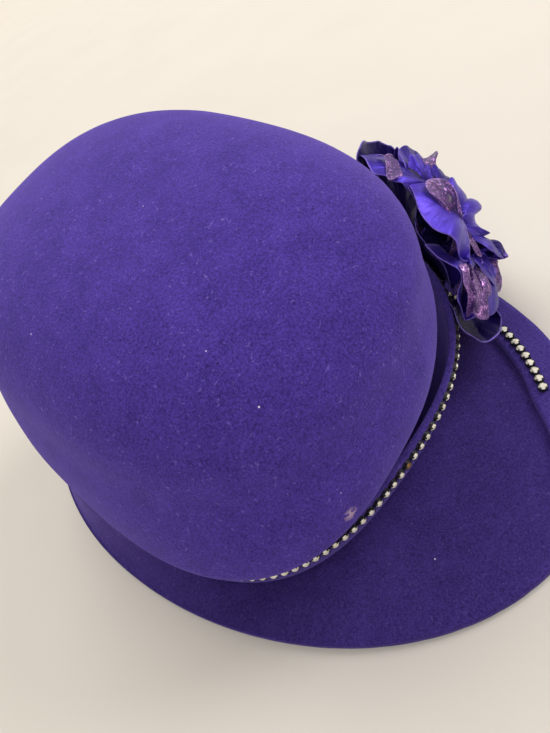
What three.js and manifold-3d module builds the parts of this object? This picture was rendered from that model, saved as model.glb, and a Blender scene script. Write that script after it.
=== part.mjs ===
// Church hat of blocked wool felt, with a standing felt band, two rhinestone chains and a satin flower.
// Millimetres, +Z up, the front towards -Y and the wearer's left towards +X.
// The brim's raw edge lies on the plane z = 0 and the origin is under the middle of the whole hat.

import * as THREE from 'three';
import Module from 'manifold-3d';
import { mergeVertices } from 'three/addons/utils/BufferGeometryUtils.js';

// Felt, cloth and fits
const FELT = 2.8;
const COLLAR_FELT = 2.2;
const STRAP_FELT = 2.8;
const SATIN = 1.0;
const GAP = 0.3;

// Head oval, measured outside the felt at the crown's foot
const HEAD_LENGTH = 211;
const HEAD_WIDTH = 157.6;
const OVAL_SQUARENESS = 2.48;

// Crown: leaning forward and to the wearer's left, puffed out at the front right above a tucked foot
const CROWN_HEIGHT = 114.5;
const CROWN_FOOT = 26;
const TILT_FORWARD = 11.2;
const TILT_RIGHT = 5.4;
const LEAN_LEFT = 27;
const LEAN_BOW = 1.5;
const PUFF = 11;
const PUFF_ANGLE = -42;
const PUFF_FOCUS = 8;
const TUCK = 6;
const TUCK_ANGLE = -70;
const TUCK_FOCUS = 2;
const SHOULDER_RISE = 0.585;
const COLLAR_HEIGHT = 10;
const FLANGE = 4.5;

// Brim edge: two half ellipses about a centre that lies left of and behind the crown's
const BRIM_FRONT = 179.5;
const BRIM_BACK = 165;
const BRIM_SIDE = 119.3;
const BRIM_SHIFT_LEFT = 29.3;
const BRIM_SHIFT_FRONT = 4.8;

// Band round the crown: it stands off most under the flower, and again under the crown's puff
const BAND_TOP = 26;
const BAND_DROP = 12;
const BAND_STAND = 20;
const BAND_FOOT_STAND = 15.5;
const BAND_BELLY = 4;
const STAND_ANGLE = 72;
const STAND_FOCUS = 2.55;
const FRONT_STAND = 3.7;
const FRONT_STAND_ANGLE = -42;
const FRONT_STAND_FOCUS = 28;
const BAND_BEND = 0.5;

// Chains of one row of small stones in cups, kept here as plain flat strips
const CHAIN_WIDTH = 4.4;
const CHAIN_THICK = 2.4;
const CHAIN_INSET = 1.2;
const STRAP_CHAIN_INSET = 3.2;

// Strap on the brim, with shares of its length where the chain starts and where the end tapers
const STRAP_WIDTH = 20;
const STRAP_END_WIDTH = 9;
const STRAP_CHAIN_START = 0.04;
const STRAP_TAPER_START = 0.82;

// Flower on the band, at a share of the band's height
const FLOWER_LEVEL = 0.75;
const FLOWER_ANGLE = 66;
const FLOWER_TURN = 57;
const FLOWER_RISE = 16;
const FLOWER_RADIUS = 60;
const FLOWER_OUT = 7;
const FLOWER_BASE_RADIUS = 15;
const PETAL_REST = 7;
const PETAL_CLEARANCE = 0.6;
const PETAL_WAIST = 0.62;
const PETAL_ROUNDNESS = 0.6;
const WAVES_ROUND_A_PETAL = 3;
const GATHER_REACH = 0.12;
const KNOT_RADIUS = 9;
const KNOT_HEIGHT = 12;
const KNOT_FOLDS = 5;
const KNOT_FOLD_DEPTH = 0.12;

// How finely the surfaces are divided
const HAT_SIDES = 56;
const STRAP_STEPS = 22;
const PETAL_STEPS = 7;
const PETAL_RINGS = [0.2, 0.4, 0.68, 0.88, 1];
const FLOWER_BASE_SIDES = 20;
const KNOT_SIDES = 15;
const SLOPE_STEP = 0.01;
const BRIM_LOOK_STEP = 3;
const MERGE_DISTANCE = 1e-5;

// Crown sections: rise as a share of the crown's height, girth as a share of the head oval, puff as
// a share of the overhang at the front right and tuck as a share of the hollow below that overhang
const CROWN_SECTIONS = [
  { rise: 0, girth: 1, puff: 0, tuck: 1 },
  { rise: 0.12, girth: 1.02, puff: 0.1, tuck: 1 },
  { rise: 0.2, girth: 1.038, puff: 0.5, tuck: 0.5 },
  { rise: 0.29, girth: 1.1, puff: 1, tuck: 0 },
  { rise: 0.36, girth: 1.122, puff: 1, tuck: 0 },
  { rise: 0.47, girth: 1.116, puff: 0.8, tuck: 0 },
  { rise: 0.585, girth: 1.085, puff: 0.45, tuck: 0 },
  { rise: 0.71, girth: 1.063, puff: 0.15, tuck: 0 },
  { rise: 0.813, girth: 0.98, puff: 0, tuck: 0 },
  { rise: 0.896, girth: 0.831, puff: 0, tuck: 0 },
  { rise: 0.95, girth: 0.646, puff: 0, tuck: 0 },
  { rise: 0.985, girth: 0.4, puff: 0, tuck: 0 },
];

// Brim sections: reach as a share of the brim's width, height as a share of the foot's height
const BRIM_SECTIONS = [
  { reach: 0, height: 1 },
  { reach: 0.12, height: 0.82 },
  { reach: 0.27, height: 0.6 },
  { reach: 0.45, height: 0.37 },
  { reach: 0.62, height: 0.19 },
  { reach: 0.78, height: 0.07 },
  { reach: 0.9, height: 0 },
  { reach: 1, height: 0 },
];

// Strap route on the brim: the angle round the brim and the reach of the strap's outer edge
const STRAP_ROUTE = [
  { angle: 86, reach: 0.5 },
  { angle: 78, reach: 0.62 },
  { angle: 69, reach: 0.84 },
  { angle: 60, reach: 0.965 },
  { angle: 47, reach: 0.985 },
  { angle: 27, reach: 0.985 },
  { angle: 6, reach: 0.985 },
];

// Flower layers from the band outwards: radius and height as shares of the flower's radius
const FLOWER_LAYERS = [
  { name: 'satin_layer_1', petals: 5, radius: 1, start: 0, cup: 0.1, turn: 10, wave: 0.04 },
  { name: 'glitter_layer_1', petals: 4, radius: 0.86, start: 0.05, cup: 0.14, turn: 50, wave: 0.03 },
  { name: 'satin_layer_2', petals: 5, radius: 0.88, start: 0.1, cup: 0.18, turn: 46, wave: 0.03 },
  { name: 'glitter_layer_2', petals: 4, radius: 0.7, start: 0.15, cup: 0.2, turn: 20, wave: 0.02 },
  { name: 'satin_layer_3', petals: 4, radius: 0.55, start: 0.2, cup: 0.24, turn: 70, wave: 0.02 },
];

const AXIS_X = new THREE.Vector3(1, 0, 0);
const AXIS_Y = new THREE.Vector3(0, 1, 0);
const AXIS_Z = new THREE.Vector3(0, 0, 1);
const radians = THREE.MathUtils.degToRad;
const clamp = THREE.MathUtils.clamp;

// Straight interpolation in a table of rows that rise in column `key`
function readTable(rows, key, column, at) {
  const last = rows.length - 1;
  if (at <= rows[0][key]) return rows[0][column];
  if (at >= rows[last][key]) return rows[last][column];
  const next = rows.findIndex((row) => row[key] > at);
  const a = rows[next - 1];
  const b = rows[next];
  return THREE.MathUtils.lerp(a[column], b[column], (at - a[key]) / (b[key] - a[key]));
}

// Unit direction round the squarish head oval, 0 degrees at the front and 90 at the wearer's left
function ovalDirection(angle) {
  const power = 2 / OVAL_SQUARENESS;
  const s = Math.sin(radians(angle));
  const c = Math.cos(radians(angle));
  return {
    x: Math.sign(s) * Math.abs(s) ** power,
    y: -Math.sign(c) * Math.abs(c) ** power,
  };
}

// Turns a point of the upright crown into its place on the leaning crown
function leanCrown(point) {
  point.applyAxisAngle(AXIS_X, radians(TILT_FORWARD));
  point.applyAxisAngle(AXIS_Y, radians(-TILT_RIGHT));
  point.z += CROWN_FOOT;
  return point;
}

// Share of a feature that is 1 at the angle `middle`, 0 opposite it, and narrower for a higher focus
function sideShare(angle, middle, focus) {
  return ((1 + Math.cos(radians(angle - middle))) / 2) ** focus;
}

// Point beside the crown's outer face: `rise` as a share of its height, `off` millimetres outside it
function crownPoint(angle, rise, off, drop = 0) {
  const d = ovalDirection(angle);
  const girth = readTable(CROWN_SECTIONS, 'rise', 'girth', rise);
  const lean = LEAN_LEFT * rise * (1 + LEAN_BOW * (1 - rise));
  const puff = readTable(CROWN_SECTIONS, 'rise', 'puff', rise) * sideShare(angle, PUFF_ANGLE, PUFF_FOCUS);
  const tuck = readTable(CROWN_SECTIONS, 'rise', 'tuck', rise) * sideShare(angle, TUCK_ANGLE, TUCK_FOCUS);
  const out = off + PUFF * puff - TUCK * tuck;
  const x = (HEAD_WIDTH / 2 * girth + out) * d.x + lean;
  const y = (HEAD_LENGTH / 2 * girth + out) * d.y;
  return leanCrown(new THREE.Vector3(x, y, rise * CROWN_HEIGHT - drop));
}

// Point on the brim's edge at its top face
function brimEdge(angle) {
  const s = Math.sin(radians(angle));
  const c = Math.cos(radians(angle));
  const depth = c > 0 ? BRIM_FRONT : BRIM_BACK;
  return new THREE.Vector3(BRIM_SHIFT_LEFT + BRIM_SIDE * s, -BRIM_SHIFT_FRONT - depth * c, FELT);
}

// Point on the brim's top face, from the flange round the crown's foot (0) to the edge (1)
function brimTop(angle, reach) {
  const foot = crownPoint(angle, 0, FLANGE, GAP);
  const edge = brimEdge(angle);
  const point = foot.clone().lerp(edge, reach);
  point.z = edge.z + (foot.z - edge.z) * readTable(BRIM_SECTIONS, 'reach', 'height', reach);
  return point;
}

// Point on the brim's top face, `off` millimetres outside the crown's foot
function brimBeside(angle, off) {
  if (off <= FLANGE) return crownPoint(angle, 0, off, GAP);
  const width = brimTop(angle, 0).distanceTo(brimTop(angle, 1));
  return brimTop(angle, (off - FLANGE) / width);
}

// Closed solid from rings of equal length; the rings close round, and a null centre leaves a hole
// through the middle, so that the first and last rings meet
function ringSolid(rings, startPole, endPole) {
  const count = rings[0].length;
  const positions = [];
  const index = [];
  rings.forEach((ring) => ring.forEach((p) => positions.push(p.x, p.y, p.z)));
  const bands = startPole ? rings.length - 1 : rings.length;
  for (let row = 0; row < bands; row += 1) {
    const below = row * count;
    const above = ((row + 1) % rings.length) * count;
    for (let i = 0; i < count; i += 1) {
      const j = (i + 1) % count;
      index.push(below + i, below + j, above + j);
      index.push(below + i, above + j, above + i);
    }
  }
  if (startPole) {
    const first = positions.length / 3;
    positions.push(startPole.x, startPole.y, startPole.z);
    positions.push(endPole.x, endPole.y, endPole.z);
    const top = (rings.length - 1) * count;
    for (let i = 0; i < count; i += 1) {
      const j = (i + 1) % count;
      index.push(first, j, i);
      index.push(first + 1, top + i, top + j);
    }
  }
  return solidGeometry(positions, index);
}

// Closed bar from sections of equal length, with a flat fan at each end
function barSolid(sections) {
  const count = sections[0].length;
  const positions = [];
  const index = [];
  sections.forEach((section) => section.forEach((p) => positions.push(p.x, p.y, p.z)));
  for (let row = 0; row + 1 < sections.length; row += 1) {
    for (let i = 0; i < count; i += 1) {
      const j = (i + 1) % count;
      const a = row * count;
      const b = a + count;
      index.push(a + i, a + j, b + j);
      index.push(a + i, b + j, b + i);
    }
  }
  const last = (sections.length - 1) * count;
  for (let i = 1; i + 1 < count; i += 1) {
    index.push(0, i + 1, i);
    index.push(last, last + i, last + i + 1);
  }
  return solidGeometry(positions, index);
}

// Indexed geometry whose faces point out, whichever way its rings were walked
function solidGeometry(positions, index) {
  let volume = 0;
  const at = (k) => new THREE.Vector3().fromArray(positions, 3 * k);
  for (let i = 0; i < index.length; i += 3) {
    volume += at(index[i]).dot(at(index[i + 1]).cross(at(index[i + 2])));
  }
  if (volume < 0) index.reverse();
  const geometry = new THREE.BufferGeometry();
  geometry.setAttribute('position', new THREE.Float32BufferAttribute(positions, 3));
  geometry.setIndex(index);
  return geometry;
}

function ring(sides, pointAt) {
  return Array.from({ length: sides }, (_, i) => pointAt(360 * i / sides));
}

// Crown: outer wall up to the tip, then the inner wall down again, open below
function crownGeometry() {
  const outer = CROWN_SECTIONS.map(({ rise }) => ring(HAT_SIDES, (a) => crownPoint(a, rise, 0)));
  const inner = CROWN_SECTIONS.map(({ rise }) => {
    const sink = FELT * clamp((rise - SHOULDER_RISE) / (1 - SHOULDER_RISE), 0, 1);
    return ring(HAT_SIDES, (a) => crownPoint(a, rise, -FELT, sink));
  });
  const tip = leanCrown(new THREE.Vector3(LEAN_LEFT, 0, CROWN_HEIGHT));
  const tipInside = leanCrown(new THREE.Vector3(LEAN_LEFT, 0, CROWN_HEIGHT - FELT));
  return ringSolid([...inner.reverse(), ...outer], tipInside, tip);
}

// Direction square to the brim's top face
function brimNormal(angle, reach) {
  const from = Math.max(0, reach - SLOPE_STEP);
  const to = Math.min(1, reach + SLOPE_STEP);
  const across = brimTop(angle, to).sub(brimTop(angle, from));
  const along = brimTop(angle + 1, reach).sub(brimTop(angle - 1, reach));
  return along.cross(across).normalize().multiplyScalar(-1);
}

// Brim: a turned-up collar inside the crown, a flange under its foot and the sloping brim
function brimGeometry() {
  const inside = -(FELT + GAP);
  const collarRise = COLLAR_HEIGHT / CROWN_HEIGHT;
  const under = GAP + FELT;
  const top = [
    ring(HAT_SIDES, (a) => crownPoint(a, collarRise, inside)),
    ring(HAT_SIDES, (a) => crownPoint(a, 0, inside, GAP)),
    ...BRIM_SECTIONS.map(({ reach }) => ring(HAT_SIDES, (a) => brimTop(a, reach))),
  ];
  const bottom = [
    ring(HAT_SIDES, (a) => crownPoint(a, collarRise, inside - COLLAR_FELT)),
    ring(HAT_SIDES, (a) => crownPoint(a, 0, inside - COLLAR_FELT, under)),
    ring(HAT_SIDES, (a) => crownPoint(a, 0, FLANGE - FELT / 2, under)),
    ...BRIM_SECTIONS.slice(1).map(({ reach }) => ring(HAT_SIDES, (a) => {
      const point = brimTop(a, reach);
      const flat = readTable(BRIM_SECTIONS, 'reach', 'height', reach) === 0;
      const down = flat ? AXIS_Z : brimNormal(a, reach);
      point.addScaledVector(down, -FELT);
      point.z = Math.max(point.z, 0);
      return point;
    })),
  ];
  return ringSolid([...top, ...bottom.reverse()]);
}

// Height of the band's upper edge above the crown's foot, lower at the front right
function bandRise(angle) {
  return (BAND_TOP - BAND_DROP * (1 - sideShare(angle, STAND_ANGLE, 1))) / CROWN_HEIGHT;
}

// Height of the band's lower edge, a gap above the highest point of the brim under it
function bandFootHeight(angle, near) {
  const far = near + STRAP_FELT;
  const heights = [near, clamp(FLANGE, near, far), far].map((off) => brimBeside(angle, off).z);
  return Math.max(...heights) + GAP;
}

// How far the band stands off the crown at its upper edge
function bandStand(angle) {
  const left = BAND_STAND * sideShare(angle, STAND_ANGLE, STAND_FOCUS);
  return left + FRONT_STAND * sideShare(angle, FRONT_STAND_ANGLE, FRONT_STAND_FOCUS);
}

// How far the band's lower edge stands off the crown's foot
function bandFootStand(angle) {
  const left = BAND_FOOT_STAND * sideShare(angle, STAND_ANGLE, 1);
  return left + FRONT_STAND * sideShare(angle, FRONT_STAND_ANGLE, FRONT_STAND_FOCUS);
}

// Point on the band: level 0 at its lower edge and 1 at its upper, `off` outside its inner face
function bandPoint(angle, level, off) {
  const near = GAP + bandFootStand(angle);
  const foot = brimBeside(angle, near + off);
  foot.z = bandFootHeight(angle, near);
  const head = crownPoint(angle, bandRise(angle), GAP + bandStand(angle) + off);
  const belly = (bandStand(angle) + bandFootStand(angle)) / 2 + BAND_BELLY * sideShare(angle, STAND_ANGLE, 1);
  const bend = crownPoint(angle, bandRise(angle) * BAND_BEND, GAP + belly + off);
  if (level < BAND_BEND) return foot.lerp(bend, level / BAND_BEND);
  return bend.lerp(head, (level - BAND_BEND) / (1 - BAND_BEND));
}

function bandGeometry() {
  const levels = [0, BAND_BEND, 1];
  const inner = levels.map((level) => ring(HAT_SIDES, (a) => bandPoint(a, level, 0)));
  const outer = levels.map((level) => ring(HAT_SIDES, (a) => bandPoint(a, level, STRAP_FELT)));
  return ringSolid([...inner, ...outer.reverse()]);
}

// Chain on the band's outer face, just below its upper edge
function bandChainGeometry() {
  const face = STRAP_FELT + GAP;
  const height = (angle) => {
    const upper = bandPoint(angle, BAND_BEND, face).distanceTo(bandPoint(angle, 1, face));
    return upper / (1 - BAND_BEND);
  };
  const rows = [
    [CHAIN_INSET, 0], [CHAIN_INSET + CHAIN_WIDTH, 0],
    [CHAIN_INSET + CHAIN_WIDTH, CHAIN_THICK], [CHAIN_INSET, CHAIN_THICK],
  ];
  const place = (a, [down, out]) => bandPoint(a, 1 - down / height(a), face + out);
  return ringSolid(rows.map((row) => ring(HAT_SIDES, (a) => place(a, row))));
}

// Point on the strap's route: share 0 under the flower and 1 at its free end, `inward` from its
// outer edge and `up` above the brim
function strapPoint(share, inward, up) {
  const rows = STRAP_ROUTE.map((row, i) => ({ ...row, share: i / (STRAP_ROUTE.length - 1) }));
  const angle = readTable(rows, 'share', 'angle', share);
  const reach = readTable(rows, 'share', 'reach', share);
  const width = brimTop(angle, 0).distanceTo(brimTop(angle, 1));
  const at = reach - inward / width;
  const point = brimTop(angle, at);
  return point.addScaledVector(brimNormal(angle, at), up);
}

function strapWidth(share) {
  const taper = clamp((share - STRAP_TAPER_START) / (1 - STRAP_TAPER_START), 0, 1);
  return THREE.MathUtils.lerp(STRAP_WIDTH, STRAP_END_WIDTH, taper);
}

function strapGeometry() {
  const sections = [];
  for (let i = 0; i <= STRAP_STEPS; i += 1) {
    const share = i / STRAP_STEPS;
    const width = strapWidth(share);
    sections.push([
      strapPoint(share, 0, GAP),
      strapPoint(share, width / 2, GAP),
      strapPoint(share, width, GAP),
      strapPoint(share, width, GAP + STRAP_FELT),
      strapPoint(share, width / 2, GAP + STRAP_FELT),
      strapPoint(share, 0, GAP + STRAP_FELT),
    ]);
  }
  return barSolid(sections);
}

// Chain on the strap, beside its inner edge and ending where the strap starts to taper
function strapChainGeometry() {
  const sections = [];
  const base = GAP + STRAP_FELT + GAP;
  for (let i = 0; i <= STRAP_STEPS; i += 1) {
    const share = THREE.MathUtils.lerp(STRAP_CHAIN_START, STRAP_TAPER_START, i / STRAP_STEPS);
    const inner = STRAP_WIDTH - STRAP_CHAIN_INSET;
    sections.push([
      strapPoint(share, inner - CHAIN_WIDTH, base),
      strapPoint(share, inner, base),
      strapPoint(share, inner, base + CHAIN_THICK),
      strapPoint(share, inner - CHAIN_WIDTH, base + CHAIN_THICK),
    ]);
  }
  return barSolid(sections);
}

// The flower's own axes: outwards from the band, along the band and across both
function flowerFrame() {
  const out = new THREE.Vector3(0, -1, 0);
  out.applyAxisAngle(AXIS_Z, radians(FLOWER_TURN));
  const along = out.clone().cross(AXIS_Z).normalize();
  out.applyAxisAngle(along, radians(FLOWER_RISE));
  const across = along.clone().cross(out);
  const seat = bandPoint(FLOWER_ANGLE, FLOWER_LEVEL, STRAP_FELT);
  return { out, along, across, seat };
}

function flowerPoint(frame, x, y, z) {
  const point = frame.seat.clone();
  point.addScaledVector(frame.along, x);
  point.addScaledVector(frame.across, y);
  return point.addScaledVector(frame.out, z);
}

// Height of the brim's top face at a place, read on the nearest line from the foot to the edge
function brimHeight(x, y) {
  let nearest = Infinity;
  let height = 0;
  for (let angle = 0; angle < 180; angle += BRIM_LOOK_STEP) {
    const foot = brimTop(angle, 0).setZ(0);
    const line = new THREE.Line3(foot, brimTop(angle, 1).setZ(0));
    const at = new THREE.Vector3(x, y, 0);
    const reach = line.closestPointToPointParameter(at, true);
    const distance = line.at(reach, new THREE.Vector3()).distanceTo(at);
    if (distance < nearest) {
      nearest = distance;
      height = brimTop(angle, reach).z;
    }
  }
  return height;
}

// One gathered layer of the flower: rounded petals that cup outwards, with waved edges, and a
// gathered middle that reaches down to the layer under it
function layerGeometry(frame, layer, under) {
  const sides = layer.petals * PETAL_STEPS;
  const drop = under ? (layer.start - under.start) * FLOWER_RADIUS - SATIN - 2 * GAP : 0;
  const lift = FLOWER_OUT + layer.start * FLOWER_RADIUS;
  const pointAt = (angle, reach, extra) => {
    const phase = radians((angle - layer.turn) * layer.petals / 2);
    const petal = THREE.MathUtils.lerp(PETAL_WAIST, 1, Math.abs(Math.cos(phase)) ** PETAL_ROUNDNESS);
    const spread = reach * THREE.MathUtils.lerp(1, petal, reach);
    const radius = FLOWER_RADIUS * layer.radius * spread;
    const wave = layer.wave * Math.sin(WAVES_ROUND_A_PETAL * radians(angle * layer.petals / 2 + layer.turn));
    const height = lift + FLOWER_RADIUS * (layer.cup + wave) * spread ** 2 + extra;
    const turned = radians(angle);
    const point = flowerPoint(frame, radius * Math.cos(turned), radius * Math.sin(turned), height);
    const rest = brimHeight(point.x, point.y) + PETAL_REST + FLOWER_RADIUS * layer.start + extra;
    point.z = Math.max(point.z, rest);
    return point;
  };
  const middle = ring(sides, (a) => pointAt(a, GATHER_REACH, -drop));
  const lower = [middle, ...PETAL_RINGS.map((reach) => ring(sides, (a) => pointAt(a, reach, 0)))];
  const upper = PETAL_RINGS.map((reach) => ring(sides, (a) => pointAt(a, reach, SATIN)));
  const lowPole = flowerPoint(frame, 0, 0, lift - drop);
  const highPole = flowerPoint(frame, 0, 0, lift + SATIN);
  return ringSolid([...lower, ...upper.reverse()], lowPole, highPole);
}

// Round pad between the band and the first layer
function flowerBaseGeometry(frame) {
  const disc = (z) => ring(FLOWER_BASE_SIDES, (a) => flowerPoint(
    frame,
    FLOWER_BASE_RADIUS * Math.cos(radians(a)),
    FLOWER_BASE_RADIUS * Math.sin(radians(a)),
    z,
  ));
  const inner = -FLOWER_BASE_RADIUS;
  const outer = FLOWER_OUT - GAP;
  const poles = [inner, outer].map((z) => flowerPoint(frame, 0, 0, z));
  return ringSolid([disc(inner), disc(outer)], ...poles);
}

// All the space inside the chain's outer face, a gap wider, and `rise` straight up above the band's edge
function bandPlugGeometry(rise) {
  const face = STRAP_FELT + GAP + CHAIN_THICK + GAP;
  const levels = [0, BAND_BEND, 1].map((level) => ring(HAT_SIDES, (a) => bandPoint(a, level, face)));
  const above = levels[2].map((p) => p.clone().setZ(p.z + rise));
  const low = new THREE.Vector3(0, 0, CROWN_FOOT);
  return ringSolid([...levels, above], low, new THREE.Vector3(0, 0, low.z + CROWN_HEIGHT));
}

// Gathered knot in the middle of the last layer
function knotGeometry(frame) {
  const last = FLOWER_LAYERS[FLOWER_LAYERS.length - 1];
  const start = FLOWER_OUT + last.start * FLOWER_RADIUS + SATIN + GAP;
  const rows = [
    { girth: 0.55, height: 0.12 },
    { girth: 0.9, height: 0.3 },
    { girth: 1, height: 0.62 },
    { girth: 0.62, height: 0.92 },
  ];
  const rings = rows.map(({ girth, height }) => ring(KNOT_SIDES, (a) => {
    const gather = 1 + KNOT_FOLD_DEPTH * Math.cos(radians(KNOT_FOLDS * a));
    const radius = KNOT_RADIUS * girth * gather;
    const turned = radians(a);
    const up = start + KNOT_HEIGHT * height;
    return flowerPoint(frame, radius * Math.cos(turned), radius * Math.sin(turned), up);
  }));
  return ringSolid(rings, flowerPoint(frame, 0, 0, start), flowerPoint(frame, 0, 0, start + KNOT_HEIGHT));
}

const wasm = await Module();
wasm.setup();

function toManifold(geometry) {
  const bare = new THREE.BufferGeometry();
  bare.setAttribute('position', geometry.getAttribute('position').clone());
  bare.setIndex(geometry.getIndex().clone());
  const merged = mergeVertices(bare, MERGE_DISTANCE);
  return new wasm.Manifold(new wasm.Mesh({
    numProp: 3,
    vertProperties: new Float32Array(merged.getAttribute('position').array),
    triVerts: new Uint32Array(merged.getIndex().array),
  }));
}

function fromManifold(solid) {
  const mesh = solid.getMesh();
  const geometry = new THREE.BufferGeometry();
  geometry.setAttribute('position', new THREE.BufferAttribute(mesh.vertProperties, 3));
  geometry.setIndex(new THREE.BufferAttribute(mesh.triVerts, 1));
  return geometry;
}

// Cuts a piece off a gap short of the band and its chain, up to `rise` above the band
function seatOnBand(geometry, rise) {
  return fromManifold(toManifold(geometry).subtract(toManifold(bandPlugGeometry(rise))));
}

// Cuts a piece off a gap short of the crown
function clearOfCrown(geometry) {
  const beside = (rise) => ring(HAT_SIDES, (a) => crownPoint(a, rise, PETAL_CLEARANCE));
  const rings = CROWN_SECTIONS.map(({ rise }) => beside(rise));
  const tip = leanCrown(new THREE.Vector3(LEAN_LEFT, 0, CROWN_HEIGHT + PETAL_CLEARANCE));
  const plug = ringSolid(rings, leanCrown(new THREE.Vector3(0, 0, 0)), tip);
  return fromManifold(toManifold(geometry).subtract(toManifold(plug)));
}

const felt = { color: 0x44307e, roughness: 0.95, metalness: 0 };
const feltDark = { color: 0x3a2a70, roughness: 0.95, metalness: 0 };
const satin = { color: 0x2c1a8c, roughness: 0.35, metalness: 0 };
const glitter = { color: 0x8a5a9e, roughness: 0.4, metalness: 0.2 };
const stones = { color: 0xd8d4c4, roughness: 0.15, metalness: 0.3 };

const hat = new THREE.Group();

function addPiece(name, geometry, finish) {
  const mesh = new THREE.Mesh(geometry, new THREE.MeshStandardMaterial(finish));
  mesh.name = name;
  hat.add(mesh);
}

const flower = flowerFrame();
addPiece('crown', crownGeometry(), felt);
addPiece('brim', brimGeometry(), felt);
addPiece('crown_band', bandGeometry(), feltDark);
addPiece('band_chain', bandChainGeometry(), stones);
addPiece('brim_strap', strapGeometry(), feltDark);
addPiece('strap_chain', strapChainGeometry(), stones);
addPiece('flower_base', seatOnBand(flowerBaseGeometry(flower), 2 * FLOWER_BASE_RADIUS), feltDark);
FLOWER_LAYERS.forEach((layer, i) => {
  const cloth = layerGeometry(flower, layer, FLOWER_LAYERS[i - 1]);
  const petals = seatOnBand(clearOfCrown(cloth), GAP);
  addPiece(layer.name, petals, layer.name.startsWith('satin') ? satin : glitter);
});
addPiece('flower_knot', knotGeometry(flower), satin);

const middle = new THREE.Box3().setFromObject(hat).getCenter(new THREE.Vector3());
hat.position.set(-middle.x, -middle.y, 0);

export default hat;
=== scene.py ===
# %% [markdown]
# # A church hat in felt, satin and cut stones
# The real hat is a deep crown of blocked wool felt on a wide shaped brim. A felt band stands off the
# crown's foot, its tail lies along the brim's edge, both carry a chain of small cut stones,
# and a flower of singed satin and glitter organza sits where the tail leaves the band.
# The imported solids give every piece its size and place, and this lesson gives them their looks.

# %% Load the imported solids
import math
import random

import bmesh
import bpy
import numpy as np
from mathutils import Matrix, Vector
from mathutils.bvhtree import BVHTree


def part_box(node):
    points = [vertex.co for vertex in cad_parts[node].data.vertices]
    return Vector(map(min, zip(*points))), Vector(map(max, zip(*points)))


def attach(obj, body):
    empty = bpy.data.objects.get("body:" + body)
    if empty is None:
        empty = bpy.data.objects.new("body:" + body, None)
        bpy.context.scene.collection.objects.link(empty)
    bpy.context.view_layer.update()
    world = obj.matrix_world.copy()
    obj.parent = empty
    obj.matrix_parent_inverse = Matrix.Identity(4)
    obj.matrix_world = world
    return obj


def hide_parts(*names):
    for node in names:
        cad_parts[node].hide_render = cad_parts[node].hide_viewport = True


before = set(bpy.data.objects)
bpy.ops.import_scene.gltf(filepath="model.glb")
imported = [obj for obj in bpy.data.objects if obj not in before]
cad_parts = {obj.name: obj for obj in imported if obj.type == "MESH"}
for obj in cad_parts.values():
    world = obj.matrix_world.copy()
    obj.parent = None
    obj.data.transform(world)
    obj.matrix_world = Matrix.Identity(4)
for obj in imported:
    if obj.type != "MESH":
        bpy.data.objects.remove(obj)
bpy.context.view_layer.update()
MM = 0.001
print("solids:", ", ".join(sorted(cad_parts)))

# %% [markdown]
# ## Where things are
# The crown's foot is the natural middle of the hat, and the brim's box leads to it. The camera stands
# close above the front right of the crown, turned a third of a right angle to one side.
# Its place was found by fitting the hat's outlines, so it is written as distances and angles.

# %% The hat's middle and the camera
CROWN_LEFT_OF_BRIM = -29.3 * MM
CROWN_BEHIND_BRIM = 12.05 * MM
CAMERA_AZIMUTH = math.radians(-24.61)
CAMERA_ELEVATION = math.radians(41.6)
CAMERA_ROLL = math.radians(-32.44)
CAMERA_DISTANCE = 305.3 * MM
CAMERA_ASIDE = 53.52 * MM
CAMERA_BELOW = -5.41 * MM
AIM_HEIGHT = 60 * MM
FOCAL_PIXELS = 612.2
PHOTO_WIDTH, PHOTO_HEIGHT = 550, 733
UP = Vector((0, 0, 1))

brim_low, brim_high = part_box("brim")
brim_middle = (brim_low + brim_high) / 2
hat_middle = Vector((brim_middle.x + CROWN_LEFT_OF_BRIM, brim_middle.y + CROWN_BEHIND_BRIM, 0))

camera_back = Vector((
    math.sin(CAMERA_AZIMUTH) * math.cos(CAMERA_ELEVATION),
    -math.cos(CAMERA_AZIMUTH) * math.cos(CAMERA_ELEVATION),
    math.sin(CAMERA_ELEVATION),
))
level_right = (-camera_back).cross(UP).normalized()
level_up = level_right.cross(-camera_back)
camera_right = level_right * math.cos(CAMERA_ROLL) + level_up * math.sin(CAMERA_ROLL)
camera_up = level_up * math.cos(CAMERA_ROLL) - level_right * math.sin(CAMERA_ROLL)
camera_place = hat_middle + UP * AIM_HEIGHT + camera_back * CAMERA_DISTANCE
camera_place += camera_right * CAMERA_ASIDE + camera_up * CAMERA_BELOW

camera_data = bpy.data.cameras.new("studio_camera")
camera_data.sensor_fit = "AUTO"
camera_data.sensor_width = 36
camera_data.lens = camera_data.sensor_width * FOCAL_PIXELS / PHOTO_HEIGHT
camera_data.clip_start = 0.01
camera_data.clip_end = 20
camera = bpy.data.objects.new("studio_camera", camera_data)
bpy.context.scene.collection.objects.link(camera)
turn = Matrix((camera_right, camera_up, camera_back)).transposed().to_4x4()
camera.matrix_world = Matrix.Translation(camera_place) @ turn
bpy.context.scene.camera = camera
print("camera at", [round(x, 3) for x in camera_place])


# %% [markdown]
# ## Small helpers
# A maker keeps a few tools at hand: select one piece, put a modifier on it and apply it, and find
# where a line meets a solid. The line finder is a bounding tree over a solid's faces.

# %% Tools for pieces
def select_only(piece):
    if bpy.context.object and bpy.context.object.mode != "OBJECT":
        bpy.ops.object.mode_set(mode="OBJECT")
    bpy.ops.object.select_all(action="DESELECT")
    piece.select_set(True)
    bpy.context.view_layer.objects.active = piece


def place_new(name, data):
    made = bpy.data.objects.new(name, data)
    bpy.context.scene.collection.objects.link(made)
    return made


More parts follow.
